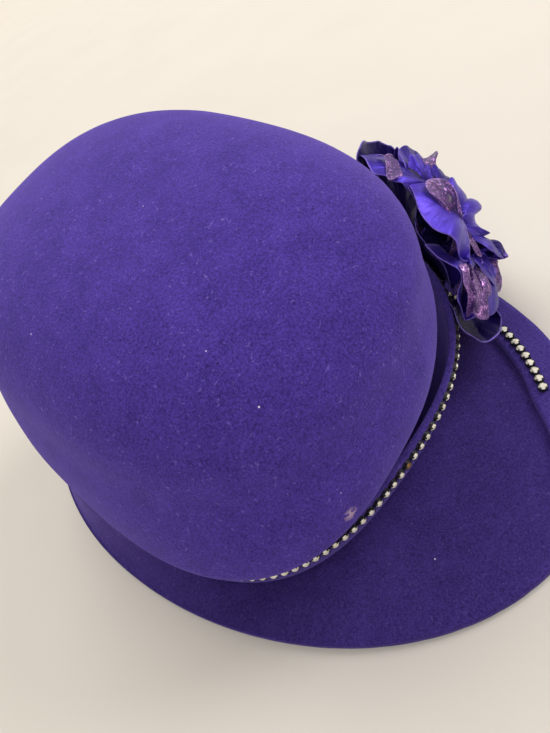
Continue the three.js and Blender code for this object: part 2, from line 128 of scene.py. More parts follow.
def apply_modifier(piece, kind, **settings):
    select_only(piece)
    modifier = piece.modifiers.new(kind.title(), kind)
    for name, value in settings.items():
        setattr(modifier, name, value)
    bpy.ops.object.modifier_apply(modifier=modifier.name)


def subdivide(piece, levels):
    apply_modifier(piece, "SUBSURF", levels=levels, render_levels=levels)


def read_points(mesh):
    flat = np.zeros(len(mesh.vertices) * 3)
    mesh.vertices.foreach_get("co", flat)
    return flat.reshape(-1, 3)


def write_points(mesh, points):
    mesh.vertices.foreach_set("co", np.asarray(points, dtype=np.float32).ravel())
    mesh.update()


def surface_tree(names, keep=None):
    corners, faces = [], []
    for name in names:
        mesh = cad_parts[name].data
        first = len(corners)
        corners += [v.co.copy() for v in mesh.vertices]
        for face in mesh.polygons:
            if keep is None or keep(face.center, face.normal):
                faces.append([first + i for i in face.vertices])
    return BVHTree.FromPolygons(corners, faces)


def photo_ray(x, y):
    aim = camera_right * (x - PHOTO_WIDTH / 2) - camera_up * (y - PHOTO_HEIGHT / 2)
    return camera_place, (aim - camera_back * FOCAL_PIXELS).normalized()


# %% [markdown]
# ## The felt pieces
# Blocked felt is one soft skin with round turns and crisp cut edges. Each felt piece starts as a
# copy of its solid, whose loose triangles are merged and paired into four-sided faces. The sharp
# edges get a crease, and a subdivision surface rounds all the rest. Rounding pulls a shape in, so
# the cage is first pushed out by what each corner would lose, and the true size comes back.

# %% Crown, brim, band and strap
EDGE_CREASE = 0.82
SHARP_ANGLE = math.radians(52)
PUSH_ROUNDS = 4
FELT_LEVELS = 2
MERGE_DISTANCE = 0.01 * MM
QUAD_TURN = math.radians(45)
QUAD_SKEW = math.radians(70)


def subdivide_in_place(piece, levels):
    wanted = read_points(piece.data)
    for _ in range(PUSH_ROUNDS):
        trial = place_new("trial", piece.data.copy())
        subdivide(trial, levels)
        lost = wanted - read_points(trial.data)[:len(wanted)]
        bpy.data.meshes.remove(trial.data)
        write_points(piece.data, read_points(piece.data) + lost)
    subdivide(piece, levels)
    off = np.abs(read_points(piece.data)[:len(wanted)] - wanted).max()
    print("corners off by at most", round(off / MM, 3), "mm")


def refine_felt(node, name):
    piece = place_new(name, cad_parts[node].data.copy())
    piece.data.materials.clear()
    select_only(piece)
    bpy.ops.mesh.customdata_custom_splitnormals_clear()
    bpy.ops.object.mode_set(mode="EDIT")
    bpy.ops.mesh.select_all(action="SELECT")
    bpy.ops.mesh.remove_doubles(threshold=MERGE_DISTANCE)
    bpy.ops.mesh.tris_convert_to_quads(face_threshold=QUAD_TURN, shape_threshold=QUAD_SKEW)
    bpy.ops.object.mode_set(mode="OBJECT")
    mesh = bmesh.new()
    mesh.from_mesh(piece.data)
    crease = mesh.edges.layers.float.new("crease_edge")
    for edge in mesh.edges:
        if len(edge.link_faces) == 2 and edge.calc_face_angle() > SHARP_ANGLE:
            edge[crease] = EDGE_CREASE
    mesh.to_mesh(piece.data)
    mesh.free()
    subdivide_in_place(piece, FELT_LEVELS)
    select_only(piece)
    bpy.ops.object.shade_smooth()
    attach(piece, "root")
    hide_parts(node)
    print(name, len(piece.data.polygons), "faces")
    return piece


felt_crown = refine_felt("crown", "felt_crown")
felt_brim = refine_felt("brim", "felt_brim")
brim_points = read_points(felt_brim.data)
brim_points[:, 2] = np.maximum(brim_points[:, 2], 0)
write_points(felt_brim.data, brim_points)
felt_band = refine_felt("crown_band", "felt_band")
felt_strap = refine_felt("brim_strap", "felt_strap")

# %% [markdown]
# ## One stone in its cup
# A cup chain is one tiny setting repeated: a black cup, four claws, and a cut stone with a flat table
# and eight sloping facets. Each is modelled once from a primitive, with inset and moved faces, and all
# copies are laid into one joined mesh, because hundreds of separate objects would be slow to handle.

# %% Model the setting
STONE_PITCH = 4.95 * MM
CUP_RADIUS = 2.2 * MM
CUP_HEIGHT = 1.5 * MM
STONE_RADIUS = 1.95 * MM
STONE_RISE = 0.8 * MM
STONE_SINK = 0.15 * MM
TABLE_SHARE = 0.55
CLAW_WIDTH = 0.7 * MM
CLAW_DEPTH = 0.45 * MM
CLAW_HEIGHT = 1.95 * MM
CLAW_BEND = 0.4 * MM
CUP_WALL = 0.1 * MM
CUP_WELL = 0.45 * MM
TABLE_INSET = 0.12 * MM
TABLE_LIFT = 0.08 * MM
SIDES = 8
TOP_FACING = 0.9


def edit_faces(piece, pick):
    mesh = bmesh.from_edit_mesh(piece.data)
    for face in mesh.faces:
        face.select = pick(face)
    mesh.select_flush_mode()
    bmesh.update_edit_mesh(piece.data)


def edit_top(piece):
    bpy.ops.object.transform_apply(location=True, rotation=True, scale=True)
    bpy.ops.object.mode_set(mode="EDIT")
    bpy.ops.mesh.select_mode(type="FACE")
    edit_faces(piece, lambda face: face.normal.z > TOP_FACING)


def model_cup():
    bpy.ops.mesh.primitive_cylinder_add(
        vertices=SIDES, radius=CUP_RADIUS, depth=CUP_HEIGHT, location=(0, 0, CUP_HEIGHT / 2))
    cup = bpy.context.object
    edit_top(cup)
    bpy.ops.mesh.inset(thickness=CUP_RADIUS - STONE_RADIUS, depth=0)
    bpy.ops.mesh.inset(thickness=CUP_WALL, depth=-CUP_WELL)
    bpy.ops.object.mode_set(mode="OBJECT")
    return cup


def model_stone():
    bottom = CUP_HEIGHT - STONE_SINK
    bpy.ops.mesh.primitive_cone_add(
        vertices=SIDES, radius1=STONE_RADIUS, radius2=STONE_RADIUS * TABLE_SHARE, depth=STONE_RISE,
        location=(0, 0, bottom + STONE_RISE / 2), rotation=(0, 0, math.pi / SIDES))
    stone = bpy.context.object
    edit_top(stone)
    bpy.ops.mesh.inset(thickness=TABLE_INSET, depth=TABLE_LIFT)
    bpy.ops.object.mode_set(mode="OBJECT")
    return stone


def model_claw():
    bpy.ops.mesh.primitive_cube_add(size=1, location=(CUP_RADIUS - CLAW_DEPTH / 4, 0, CLAW_HEIGHT / 2))
    claw = bpy.context.object
    claw.scale = (CLAW_DEPTH, CLAW_WIDTH, CLAW_HEIGHT)
    edit_top(claw)
    bpy.ops.transform.translate(value=(-CLAW_BEND, 0, 0))
    bpy.ops.object.mode_set(mode="OBJECT")
    return claw


def take_shape(piece):
    points = read_points(piece.data)
    faces = [list(face.vertices) for face in piece.data.polygons]
    bpy.data.objects.remove(piece)
    return points, faces


cup_shape = take_shape(model_cup())
stone_shape = take_shape(model_stone())
claw_shape = take_shape(model_claw())
print("a cup has", len(cup_shape[1]), "faces and a stone", len(stone_shape[1]))


# %% [markdown]
# ## Where the chains run
# The band's chain goes all round the band's outer face and the strap's chain lies on the strap. The
# plain strips in the solids already mark both routes. Lines cast on a strip from outside, or from
# above, meet it at many heights, and the middle of those hits is the chain's centre line.

# %% Find the middle of a strip
LINE_REACH = 0.25
FACING_COSINE = -0.35
LEAST_HITS = 3
BAND_HEADINGS = range(0, 360, 2)
BAND_LEVEL_STEP = 0.5 * MM
STRAP_HEADINGS = range(-100, 1000, 12)
STRAP_CEILING = 0.2
STRAP_REACHES = np.arange(0.06, 0.22, 0.4 * MM)
PLACE_ROUNDS = 3
NORMAL_ROUNDS = 4


def middle_of_hits(tree, starts, direction):
    hits = []
    for start in starts:
        place, normal, _, _ = tree.ray_cast(start, direction, LINE_REACH)
        if place is not None and normal.dot(direction) < FACING_COSINE:
            hits.append((place, normal))
    if len(hits) < LEAST_HITS:
        return None
    return hits[len(hits) // 2][0], sum((h[1] for h in hits), Vector()).normalized()


def heading(degrees):
    return Vector((math.sin(math.radians(degrees)), -math.cos(math.radians(degrees)), 0))


def band_route():
    tree = surface_tree(["band_chain"])
    low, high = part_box("band_chain")
    levels = np.arange(low.z, high.z, BAND_LEVEL_STEP)
    found = []
    for degrees in BAND_HEADINGS:
        away = heading(degrees)
        starts = [hat_middle + away * LINE_REACH + UP * z for z in levels]
        found.append(middle_of_hits(tree, starts, -away))
    return [pair for pair in found if pair]


def strap_route():
    tree = surface_tree(["strap_chain"])
    found = []
    for tenth in STRAP_HEADINGS:
        away = heading(tenth / 10)
        starts = [hat_middle + away * reach + UP * STRAP_CEILING for reach in STRAP_REACHES]
        found.append(middle_of_hits(tree, starts, -UP))
    return [pair for pair in found if pair]


def smooth_loop(values, closed, rounds):
    values = np.array(values, float)
    for _ in range(rounds):
        before, after = np.roll(values, 1, axis=0), np.roll(values, -1, axis=0)
        if not closed:
            before[0], after[-1] = values[0], values[-1]
        values = (before + 2 * values + after) / 4
    return values


def stations(route, closed, pitch):
    places = smooth_loop([p for p, _ in route], closed, PLACE_ROUNDS)
    normals = smooth_loop([n for _, n in route], closed, NORMAL_ROUNDS)
    if closed:
        places = np.vstack([places, places[:1]])
        normals = np.vstack([normals, normals[:1]])
    travelled = np.concatenate([[0], np.cumsum(np.linalg.norm(np.diff(places, axis=0), axis=1))])
    count = round(travelled[-1] / pitch)
    wanted = (np.arange(count) + 0.5) / count * travelled[-1]
    made = []
    for at in wanted:
        place = [np.interp(at, travelled, places[:, k]) for k in range(3)]
        ahead = [np.interp(at + pitch / 3, travelled, places[:, k]) for k in range(3)]
        behind = [np.interp(at - pitch / 3, travelled, places[:, k]) for k in range(3)]
        normal = Vector([np.interp(at, travelled, normals[:, k]) for k in range(3)])
        along = (Vector(ahead) - Vector(behind)).normalized()
        across = normal.cross(along).normalized()
        made.append((Vector(place), along, across, along.cross(across).normalized()))
    return made


band_stations = stations(band_route(), True, STONE_PITCH)
strap_stations = stations(strap_route(), False, STONE_PITCH)
print("stones on the band:", len(band_stations), "and on the strap:", len(strap_stations))

# %% [markdown]
# ## Lay the chains
# The cups of a chain hang together by thin links that follow the same route. All of it is one mesh with
# a material for the cups and one for the stones. Every stone is turned and tilted a little, because
# hand-set stones never sit quite alike, and one on the band has gone brown.

# %% Join cups, claws, stones and links
CHAIN_DEPTH = 2.4 * MM
LINK_WIDTH = 1.5 * MM
LINK_THICK = 0.6 * MM
CLAW_TURNS = (45, 135, 225, 315)
STONE_TILT = math.radians(5)
STONE_SPIN = 0.4
CUP_SLOT, CLEAR_SLOT, BROWN_SLOT = range(3)
BROWN_STONE_PIXEL = (406.6, 471.2)


def lay_shape(parts, shape, matrix, material):
    points, faces = shape
    first = sum(len(p[0]) for p in parts)
    turned = [matrix @ Vector(p) for p in points]
    parts.append((turned, [[first + i for i in face] for face in faces], material))


def link_shape(route, closed):
    corners, faces = [], []
    for place, _, across, normal in route:
        side = across * LINK_WIDTH / 2
        base = place - normal * CHAIN_DEPTH
        lift = normal * LINK_THICK
        corners += [base - side, base + side, base + side + lift, base - side + lift]
    count = len(route)
    for i in range(count if closed else count - 1):
        a, b = 4 * i, 4 * ((i + 1) % count)
        faces += [[a + k, a + (k + 1) % 4, b + (k + 1) % 4, b + k] for k in range(4)]
    if not closed:
        faces += [[3, 2, 1, 0], [4 * count - 4 + k for k in range(4)]]
    return corners, faces


def nearest_to_pixel(route, pixel):
    start, direction = photo_ray(*pixel)
    return min(range(len(route)), key=lambda i: (route[i][0] - start).cross(direction).length)


def lay_chain(name, node, route, closed, brown=None):
    chance = random.Random(len(route))
    parts = []
    lay_shape(parts, link_shape(route, closed), Matrix.Identity(4), CUP_SLOT)
    for i, (place, along, across, normal) in enumerate(route):
        basis = Matrix((along, across, normal)).transposed().to_4x4()
        seat = Matrix.Translation(place - normal * CHAIN_DEPTH) @ basis
        lay_shape(parts, cup_shape, seat, CUP_SLOT)
        for degrees in CLAW_TURNS:
            turned = seat @ Matrix.Rotation(math.radians(degrees), 4, "Z")
            lay_shape(parts, claw_shape, turned, CUP_SLOT)
        tilt = Matrix.Rotation(chance.uniform(-STONE_TILT, STONE_TILT), 4, "X")
        tilt = tilt @ Matrix.Rotation(chance.uniform(-STONE_TILT, STONE_TILT), 4, "Y")
        spin = Matrix.Rotation(chance.uniform(-STONE_SPIN, STONE_SPIN), 4, "Z")
        lift = Matrix.Translation((0, 0, CUP_HEIGHT))
        colour = BROWN_SLOT if i == brown else CLEAR_SLOT
        lay_shape(parts, stone_shape, seat @ lift @ tilt @ spin @ lift.inverted(), colour)
    mesh = bpy.data.meshes.new(name)
    mesh.from_pydata([p for part in parts for p in part[0]], [], [f for part in parts for f in part[1]])
    kinds = [part[2] for part in parts for _ in part[1]]
    mesh.polygons.foreach_set("material_index", kinds)
    chain = place_new(name, mesh)
    select_only(chain)
    bpy.ops.object.mode_set(mode="EDIT")
    bpy.ops.mesh.select_all(action="SELECT")
    bpy.ops.mesh.normals_make_consistent(inside=False)
    bpy.ops.object.mode_set(mode="OBJECT")
    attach(chain, "root")
    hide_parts(node)
    print(name, len(mesh.polygons), "faces")
    return chain


brown_stone_number = nearest_to_pixel(band_stations, BROWN_STONE_PIXEL)
band_stones = lay_chain("band_stones", "band_chain", band_stations, True, brown_stone_number)
strap_stones = lay_chain("strap_stones", "strap_chain", strap_stations, False)

# %% [markdown]
# ## The flower
# The flower is made of rounds of satin and glitter organza whose edges were singed over a flame, so
# every petal curls in its own way. The rounds are stacked and gathered on the band. Its axes come
# first: out from the band, along the band, up, and two more in its plane, across the view and towards
# the camera.

# %% The flower's axes
FLOWER_TURN = math.radians(57)
FLOWER_RISE = math.radians(16)
FLOWER_SEAT = Vector((102.7, -64.8, 42.8)) * MM
NEAR_TURN = math.radians(40)
flower_seat = hat_middle + FLOWER_SEAT
flower_out = Vector((
    math.sin(FLOWER_TURN) * math.cos(FLOWER_RISE),
    -math.cos(FLOWER_TURN) * math.cos(FLOWER_RISE),
    math.sin(FLOWER_RISE),
))
flower_along = flower_out.cross(UP).normalized()
flower_up = flower_along.cross(flower_out)
flower_near = flower_along * math.cos(NEAR_TURN) + flower_up * math.sin(NEAR_TURN)
print("flower axis", [round(x, 3) for x in flower_out])

# %% [markdown]
# ## Petals that show
# The petals on the camera's side are shaped one by one, as a maker copies a real flower: each has a root,
# a rim of a few points from one side to the other, and a belly. A point is its place in the picture
# and how many millimetres it lies towards the camera from the flower's axis. The belly says how far
# the cloth between root and rim is pushed out along the axis and towards the camera, and a negative
# one makes a cup. The painted light is 1 where the satin's open face is painted as lit and 0 where it
# is painted in the deep shade inside a fold. Two wide petals painted in full shade lie behind the
# others and close the gaps between them.

# %% The table of shown petals
# Columns: round, painted light (1 painted lit, 0 painted deep shade), root, belly along the axis and
# towards the camera, rim from side to side.
SHOWN_PETALS = [
    ("satin_1", 0.12, (398, 190, 2), (-4, -12), [
        (357.5, 161, 12), (358, 151, 10), (362.5, 140.3, 2), (369, 142.5, -8), (378, 142, -14),
        (386, 142.7, -16), (392, 146, -16), (397, 152, -13), (401, 162, -7)]),
    ("satin_1", 0.75, (430, 184, 8), (4, 4), [
        (380, 156, -4), (370, 154.7, 2), (361, 152.5, 9), (364.5, 159, 17), (370, 169, 23),
        (376.3, 176.5, 27), (385.8, 177.8, 28), (393.8, 179.4, 28), (402, 182.5, 27), (409, 192, 25)]),
    ("satin_1", 0.05, (412, 214, 4), (-4, -8), [
        (376, 172, 14), (386, 177, 19), (397, 179, 23), (407, 184, 26), (413, 196, 28), (415, 212, 27),
        (418, 226, 24)]),
    ("satin_2", 0.95, (452, 208, 8), (6, 5), [
        (406, 180, 22), (409.7, 186, 26), (414.5, 196, 32), (419.3, 206, 36), (424, 218.5, 40),
        (427.3, 226.4, 42), (435.3, 230.4, 43), (444.8, 233.6, 43), (452.8, 239.2, 42),
        (459.2, 246.5, 40), (462, 258, 35), (468, 262, 28)]),
    ("satin_1", 0.05, (440, 236, 2), (-8, -12), [
        (415, 218, 22), (419, 234, 27), (427, 249, 29), (438, 259, 30), (450, 268, 30), (460, 276, 28),
        (468, 268, 22)]),
    ("satin_1", 0.55, (474, 262, 12), (5, 4), [
        (423, 244, 29), (432, 253.5, 34), (441.6, 260, 38), (451, 265.5, 41), (457.6, 271, 42),
        (461.6, 279, 42), (460.8, 287, 42), (457.6, 296.6, 43), (458.4, 303, 43), (465.6, 309.4, 41),
        (473.5, 315, 38), (483, 318, 32), (492, 316, 24), (498, 306, 15), (497, 294, 8)]),
    ("satin_1", 0.12, (478, 292, 4), (-9, -20), [
        (451, 303, 31), (453, 311, 34), (457.6, 322, 36), (465.6, 333.3, 36), (476.7, 340.5, 34),
        (486.3, 341.3, 30), (494.3, 338, 26), (500.7, 331.7, 20), (502.3, 323.7, 12), (499, 316, 6),
        (491, 309, 1)]),
    ("satin_2", 0.3, (416, 182, 6), (2, 3), [
        (400, 164, 0), (398, 151, -6), (404, 146.5, -10), (412, 149, -12), (419, 153.5, -12),
        (426, 160, -10), (429, 171, -4)]),
    ("satin_2", 0.8, (427, 184, 10), (2, 4), [
        (408, 168, 9), (409.5, 155, 5), (416, 154, 1), (422, 159, -1), (429, 166, -1), (434, 178, 3)]),
    ("satin_3", 0.35, (444, 188, 6), (2, 3), [
        (430, 174, 5), (432, 165, 1), (439, 168, -2), (446, 175, -3), (452, 184, -1)]),
    ("satin_2", 0.9, (452, 214, 6), (4, 6), [
        (446, 193, 6), (448, 178.5, 2), (453, 178, -2), (459, 184, -6), (464, 191, -8),
        (467.5, 199.5, -9), (471, 197.5, -10), (478, 204, -10), (481, 208.8, -9), (480.4, 210, -8),
        (473, 216, -2)]),
    ("satin_3", 0.8, (458, 226, 8), (3, 5), [
        (464, 212, 4), (473, 213.5, 0), (477, 221, -4), (481, 228.5, -6), (488, 232.2, -6),
        (488.3, 233.6, -6), (482, 237, -2), (474, 240, 4)]),
    ("satin_3", 0.25, (472, 250, 0), (2, 5), [
        (477, 243, 0), (484, 240, -4), (494.5, 239.8, -7), (501, 244, -7), (505.4, 248.8, -6),
        (508, 255.5, -4), (507.6, 257.2, -4), (500, 259.5, 1), (490, 260, 5), (481, 256, 7)]),
    ("satin_2", 0.05, (462, 240, 6), (-2, -8), [
        (464, 250, 15), (471, 262, 18), (480, 271, 18), (489, 278, 15), (490, 266, 9), (484, 255, 5)]),
    ("satin_2", 0.6, (474, 250, 8), (2, 3), [
        (478, 253, 12), (484, 254.5, 8), (490, 261, 5), (494.5, 270, 6), (495, 280, 10), (488, 274, 14)]),
    ("glitter_1", 1, (394, 159, 15), (1, 2), [
        (388, 154, 11), (377, 157, 13), (385, 160, 17), (386.4, 168, 24), (387, 177, 29),
        (394, 179, 31), (402.5, 178.5, 31), (400, 170, 25)]),
    ("glitter_2", 1, (456, 223, 20), (3, 4), [
        (444, 217, 26), (441, 207, 27), (433, 197, 29), (427, 190, 29), (424, 182.5, 26), (431, 178.5, 20),
        (439, 177.5, 17), (449, 181, 18), (455, 190, 22), (458, 203, 25), (460, 213, 25)]),
    ("glitter_2", 1, (448, 218, 26), (2, 3), [
        (458, 224, 22), (466, 231, 19), (474, 240.5, 15), (480, 250, 11), (482.5, 257, 11),
        (476, 252, 17), (468, 244, 21), (460, 236, 26), (454, 229, 30)]),
    ("glitter_2", 1, (431, 170, 3), (0, 1), [
        (424, 165, 3), (421.5, 156.5, 1), (428, 157.5, -1), (436.5, 151.5, -2), (435.5, 160, 0),
        (435, 168, 3)]),
    ("glitter_1", 1, (474, 272, 24), (4, 4), [
        (457, 266, 40), (461.5, 272, 43), (463.5, 281, 44), (465, 291, 45), (470, 300, 44),
        (474, 308, 43), (477, 318, 41), (491, 319.5, 35), (484.6, 312, 35), (480, 307, 35),
        (485, 300, 32), (490, 295, 27), (488, 288, 23), (480, 277, 22)]),
    # A wide petal painted in full shade, a dark sheet behind the others where there is only shade.
    ("satin_1", 0.0, (446, 222, -10), (2, 0), [
        (376, 168, -8), (392, 184, -8), (404, 198, -8), (414, 218, -8), (420, 238, -8), (425, 256, -6),
        (434, 276, -4), (444, 292, -2)]),
    ("glitter_1", 1, (484, 260, 0), (1, 2), [
        (489, 252.5, 0), (495, 257, -1), (499, 265, -1), (501.5, 277, 1), (500, 292, 4), (494, 285, 8),
        (489, 274, 9)]),
    # Another wide petal painted in full shade behind the others.
    ("satin_1", 0.0, (444, 280, -4), (2, 0), [
        (408, 240, 4), (413, 248, 5), (417, 256, 6), (422, 264, 6), (430, 273, 6), (440, 282, 6)]),
]
print("shown petals:", len(SHOWN_PETALS))

# %% [markdown]
# ## Petals at the back
# The picture doesn't show the flower's far side, so it is finished plainly in the same manner: each
# petal there is bent by a formula, with a rounded outline, an arch from its root over a crest to its
# rim and a cup across it.

# %% The table of back petals
# Columns: round, turn, reach, width, root, crest, rim, roll, cup. Turn and roll are degrees and the
# rest millimetres, apart from cup, a share of the width. Root, crest and rim are heights on the axis.
BACK_PETALS = [
    ("satin_1", 168, 54, 46, 13, 24, 19, 0, 0.15),
    ("satin_1", 222, 52, 50, 13, 22, 16, 0, 0.12),
    ("satin_1", 276, 52, 50, 13, 20, 12, 0, 0.14),
    ("satin_2", 150, 43, 42, 20, 34, 32, -12, 0.18),
    ("satin_2", 205, 42, 44, 21, 34, 33, 0, 0.16),
    ("satin_2", 262, 42, 44, 20, 31, 30, 10, 0.16),
    ("satin_2", 316, 38, 36, 20, 30, 26, 10, 0.16),
    ("satin_3", 165, 26, 30, 28, 41, 40, -12, 0.24),
    ("satin_3", 230, 27, 32, 28, 41, 40, 0, 0.22),
    ("satin_3", 300, 26, 30, 28, 40, 38, 10, 0.22),
    ("glitter_1", 190, 46, 40, 16, 27, 25, 0, 0.1),
    ("glitter_1", 250, 45, 40, 16, 25, 22, 0, 0.1),
    ("glitter_2", 178, 36, 34, 24, 37, 38, -12, 0.18),
    ("glitter_2", 240, 36, 36, 24, 36, 36, 0, 0.14),
]
# The back petals are painted 0.6 of the way from deep shade to lit.
BACK_PAINTED_LIGHT = 0.6
PETAL_GRID = 18
ROOT_RADIUS = 3 * MM
ROOT_SPREAD = 0.1
ROOT_WIDTH = 0.22
TWIST_SPEED = 1.6
WIDEN_SPEED = 1.9
WIDEN_POWER = 0.8
CUP_SPEED = 1.5
REACH_WAVE = 0.04
REACH_WAVES = 5
RIM_STEP = 0.03
SIDE_START = 2.5
# Waves of the rim: count, least and largest size in mm, and for shown petals the power they grow with.
SHOWN_WAVES = [(1.5, 0.4, 0.9, 2), (3.5, 0.4, 0.8, 3), (9, 0.2, 0.4, 5)]
BACK_WAVES = [(3, 0.9, 1.5), (5, 0.5, 1.0), (9, 0.2, 0.45)]
PETAL_GAP = 1.2 * MM
LEAST_GAP = 0.4 * MM
GROUND_SHARE = 0.1
CROWN_SHARE = 0.05
OVERHEAD = 0.3
PETAL_THICK = 0.3 * MM

felt_under = surface_tree(["brim", "brim_strap", "strap_chain"])
crown_side = surface_tree(["crown", "band_chain"], lambda c, n: n.dot(c - hat_middle - UP * c.z) > 0)


def keep_clear(place):
    over = Vector((place.x, place.y, OVERHEAD))
    ground, _, _, _ = felt_under.ray_cast(over, -UP)
    if ground is not None and place.z < ground.z + PETAL_GAP:
        place = Vector((place.x, place.y, ground.z + PETAL_GAP + GROUND_SHARE * (place.z - ground.z)))
        place.z = max(place.z, ground.z + LEAST_GAP)
    nearest, normal, _, _ = crown_side.find_nearest(place)
    if nearest is not None:
        outside = (place - nearest).dot(normal)
        if outside < PETAL_GAP:
            place = nearest + normal * (PETAL_GAP + CROWN_SHARE * outside)
    return place


def bend_petal(u, v, row, waves):
    _, turn, reach, width, root, crest, rim, roll, cup = row
    turn, roll = math.radians(turn), math.radians(roll)
    radial = flower_along * math.cos(turn) + flower_up * math.sin(turn)
    around = flower_up * math.cos(turn) - flower_along * math.sin(turn)
    twist = roll * min(1, u * TWIST_SPEED)
    sideways = around * math.cos(twist) + flower_out * math.sin(twist)
    face = flower_out * math.cos(twist) - around * math.sin(twist)
    height = root * (1 - u) * (1 - 2 * u) + 4 * crest * u * (1 - u) + rim * u * (2 * u - 1)
    spread = v * width / 2 * (ROOT_WIDTH + (1 - ROOT_WIDTH) * min(1, u * WIDEN_SPEED) ** WIDEN_POWER)
    sink = -cup * width * v * v * min(1, u * CUP_SPEED)
    edge = math.hypot(2 * u - 1, v)
    bearing = math.atan2(v, 2 * u - 1)
    ripple = sum(
        size * math.sin(count * bearing + phase)
        for count, size, phase in waves
    ) * max(0, edge) ** 3 * min(1, u * 2)
    wave = REACH_WAVE * math.sin(REACH_WAVES * bearing + waves[0][2])
    reach_mm = ROOT_RADIUS / MM + reach * u * (1 + wave)
    return (
        flower_seat + flower_out * (height * MM) + radial * (reach_mm * MM)
        + sideways * (spread * MM) + face * ((sink + ripple) * MM)
    )


def on_picture(x, y, near):
    start, direction = photo_ray(x, y)
    reach = (near * MM - (start - flower_seat).dot(flower_near)) / direction.dot(flower_near)
    return start + direction * reach


def smooth_line(points, at):
    last = len(points) - 1
    points = [points[0] * 2 - points[1]] + points + [points[-1] * 2 - points[-2]]
    k = min(int(at * last), last - 1)
    t = at * last - k
    a, b, c, d = points[k:k + 4]
    return (b * 2 + (c - a) * t + (a * 2 - b * 5 + c * 4 - d) * t ** 2 + (b * 3 - a - c * 3 + d) * t ** 3) / 2


def draw_petal(u, v, root, belly, rim_points, waves):
    rim = smooth_line(rim_points, v)
    middle = smooth_line(rim_points, 0.5)
    start = root + (rim - middle) * ROOT_SPREAD
    control = (start + rim) / 2 + flower_out * (belly[0] * MM) + flower_near * (belly[1] * MM)
    place = start * (1 - u) ** 2 + control * (2 * u * (1 - u)) + rim * u ** 2
    along = smooth_line(rim_points, min(1, v + RIM_STEP)) - smooth_line(rim_points, max(0, v - RIM_STEP))
    square = (rim - root).cross(along).normalized()
    ripple = sum(
        size * math.sin(count * math.tau * v + phase) * u ** power
        for count, size, phase, power in waves
    )
    return place + square * (ripple * MM)


def new_petal():
    bpy.ops.mesh.primitive_grid_add(x_subdivisions=PETAL_GRID, y_subdivisions=PETAL_GRID, size=2)
    return bpy.context.object


def mark_petal(petal, rim, painted_light):
    # Beside its rim share, each petal keeps its painted light: 1 painted lit, 0 painted in deep shade.
    for name, values in (("rim", rim), ("painted_light", np.full(len(rim), painted_light))):
        mark = petal.data.attributes.new(name, "FLOAT", "POINT")
        mark.data.foreach_set("value", np.asarray(values, dtype=np.float32))
    petal.location = (0, 0, 0)
    return petal


def model_shown_petal(row, number):
    chance = random.Random(number)
    waves = [(count, chance.uniform(low, high), chance.uniform(0, math.tau), power)
             for count, low, high, power in SHOWN_WAVES]
    _, painted_light, root_point, belly, rim_line = row
    root = on_picture(*root_point)
    rim_points = [on_picture(*point) for point in rim_line]
    petal = new_petal()
    square = (read_points(petal.data)[:, :2] + 1) / 2
    placed = [keep_clear(draw_petal(u, v, root, belly, rim_points, waves)) for v, u in square]
    write_points(petal.data, [list(p) for p in placed])
    side = np.abs(2 * square[:, 0] - 1) * np.clip(SIDE_START * square[:, 1], 0, 1)
    return mark_petal(petal, np.maximum(square[:, 1], side), painted_light)


def model_back_petal(row, number):
    chance = random.Random(number)
    waves = [(count, chance.uniform(low, high), chance.uniform(0, math.tau))
             for count, low, high in BACK_WAVES]
    petal = new_petal()
    square = read_points(petal.data)
    disc_x = square[:, 0] * np.sqrt(1 - square[:, 1] ** 2 / 2)
    disc_y = square[:, 1] * np.sqrt(1 - square[:, 0] ** 2 / 2)
    placed = [keep_clear(bend_petal((y + 1) / 2, x, row, waves)) for x, y in zip(disc_x, disc_y)]
    write_points(petal.data, [list(p) for p in placed])
    return mark_petal(petal, np.hypot(disc_x, disc_y) * np.clip((disc_y + 1) * 2, 0, 1), BACK_PAINTED_LIGHT)


def make_round(cloth, number):
    name, kind = f"{cloth}_petals_{number}", f"{cloth}_{number}"
    petals = [model_shown_petal(row, 31 * i + 7) for i, row in enumerate(SHOWN_PETALS) if row[0] == kind]
    petals += [model_back_petal(row, 17 * i + 5) for i, row in enumerate(BACK_PETALS) if row[0] == kind]
    bpy.ops.object.select_all(action="DESELECT")
    for petal in petals:
        petal.select_set(True)
    bpy.context.view_layer.objects.active = petals[0]
    bpy.ops.object.join()
    made = bpy.context.object
    made.name = name
    made.data.name = name
    subdivide(made, 1)
    apply_modifier(made, "SOLIDIFY", thickness=PETAL_THICK, offset=0)
    select_only(made)
    bpy.ops.object.shade_smooth()
    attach(made, "root")
    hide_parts(f"{cloth}_layer_{number}")
    return made


satin_1 = make_round("satin", 1)
glitter_1 = make_round("glitter", 1)
satin_2 = make_round("satin", 2)
glitter_2 = make_round("glitter", 2)
satin_3 = make_round("satin", 3)

# %% [markdown]
# ## The gathered knot
# In the middle a strip of satin is rolled and gathered into a small bud. A sphere is a fair start for
# it: its rings are pulled in and pushed out in folds that wind round the axis, as a twisted cloth does.

# %% Model the knot
KNOT_RADIUS = 7 * MM
KNOT_HEIGHT = 31 * MM
KNOT_FLATTEN = 0.95
KNOT_DIMPLE = 0.28
# Folds of the knot: count, winding and depth as a share of the radius.
KNOT_FOLDS = [(5, 4, 0.16), (9, -6, 0.07)]


